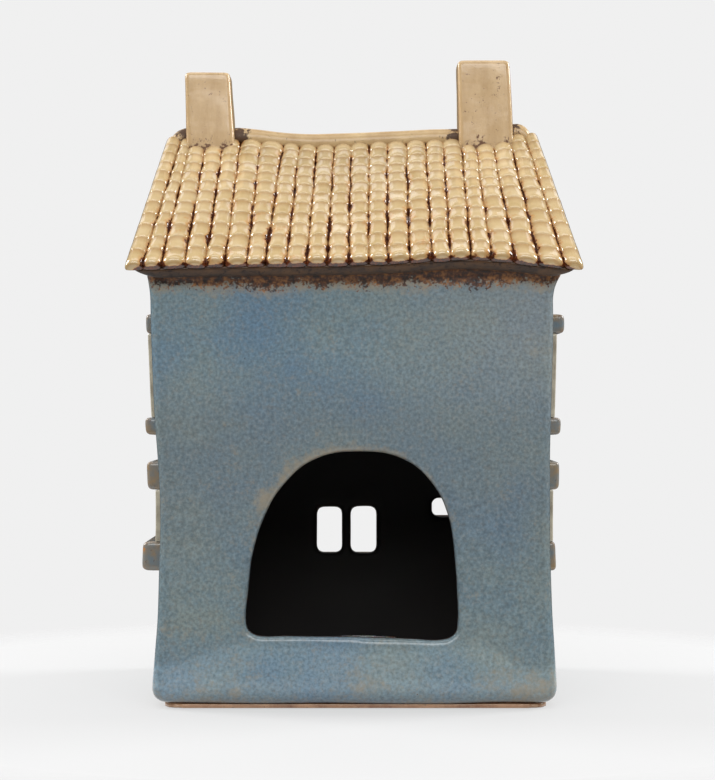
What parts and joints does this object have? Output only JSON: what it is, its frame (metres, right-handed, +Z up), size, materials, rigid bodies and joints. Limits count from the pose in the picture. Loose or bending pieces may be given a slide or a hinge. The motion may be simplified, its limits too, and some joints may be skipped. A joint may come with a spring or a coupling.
{
  "type": "tealight house",
  "caption": "Hand-built glazed pottery cottage that holds a tealight, put in through an arch in the back wall; its light shows through the windows.",
  "frame": {"origin": "middle of the foot, on the surface that the house stands on", "axes": "+Z up, -Y towards the arch in the back wall, +Y towards the front door, +X to the right as seen from the arch"},
  "size_m": [0.1346, 0.113, 0.1975],
  "materials": {
    "blue_crackle_glaze": "glossy mottled grey-blue crackle glaze over buff clay",
    "honey_roof_glaze": "glossy honey-cream glaze, rust brown in the grooves",
    "dark_edge_glaze": "glossy dark brown glaze",
    "rust_base_glaze": "thin orange-brown glaze",
    "cream_trim_glaze": "glossy cream glaze, thin and brown on the edges",
    "shutter_glaze": "beige glaze with dark brown between the slats",
    "door_glaze": "glossy brown glaze",
    "aluminium_cup": "bright pressed foil",
    "paraffin_wax": "white wax, slightly clear",
    "tinned_sustainer": "tinned sheet",
    "cotton_wick": "waxed braided cotton"
  },
  "bodies": {
    "house": {"back_eaves_cove": "dark_edge_glaze", "back_roof_slab": "dark_edge_glaze", "back_roof_tiles": "honey_roof_glaze", "back_verge_rolls": "honey_roof_glaze", "back_wall": "blue_crackle_glaze", "base_slab": "rust_base_glaze", "door_canopy": "cream_trim_glaze", "door_knob": "rust_base_glaze", "door_leaf": "door_glaze", "door_step": "cream_trim_glaze", "door_surround": "cream_trim_glaze", "front_eaves_cove": "dark_edge_glaze", "front_ground_middle_window_frame": "cream_trim_glaze", "front_ground_middle_window_lintel": "cream_trim_glaze", "front_ground_middle_window_sill": "cream_trim_glaze", "front_roof_slab": "dark_edge_glaze", "front_roof_tiles": "honey_roof_glaze", "front_upper_left_window_frame": "cream_trim_glaze", "front_upper_left_window_lintel": "cream_trim_glaze", "front_upper_left_window_sill": "cream_trim_glaze", "front_upper_middle_window_frame": "cream_trim_glaze", "front_upper_middle_window_lintel": "cream_trim_glaze", "front_upper_middle_window_sill": "cream_trim_glaze", "front_upper_right_window_frame": "cream_trim_glaze", "front_upper_right_window_lintel": "cream_trim_glaze", "front_upper_right_window_sill": "cream_trim_glaze", "front_verge_rolls": "honey_roof_glaze", "front_wall": "blue_crackle_glaze", "left_chimney": "honey_roof_glaze", "left_lower_window_frame": "cream_trim_glaze", "left_lower_window_lintel": "cream_trim_glaze", "left_lower_window_shutters": "shutter_glaze", "left_lower_window_sill": "cream_trim_glaze", "left_upper_window_frame": "cream_trim_glaze", "left_upper_window_lintel": "cream_trim_glaze", "left_upper_window_shutters": "shutter_glaze", "left_upper_window_sill": "cream_trim_glaze", "left_wall": "blue_crackle_glaze", "ridge_roll": "honey_roof_glaze", "right_chimney": "honey_roof_glaze", "right_lower_window_frame": "cream_trim_glaze", "right_lower_window_lintel": "cream_trim_glaze", "right_lower_window_shutters": "shutter_glaze", "right_lower_window_sill": "cream_trim_glaze", "right_upper_window_frame": "cream_trim_glaze", "right_upper_window_lintel": "cream_trim_glaze", "right_upper_window_shutters": "shutter_glaze", "right_upper_window_sill": "cream_trim_glaze", "right_wall": "blue_crackle_glaze"},
    "tealight": {"tealight_cup": "aluminium_cup", "tealight_wax": "paraffin_wax", "wick_sustainer": "tinned_sustainer", "wick": "cotton_wick"}
  },
  "joints": [
    {"name": "tealight_out", "type": "slide", "parent": "house", "child": "tealight", "axis": [0, -0.7528, 0.6583], "range_m": [0, 0.091]}
  ]
}
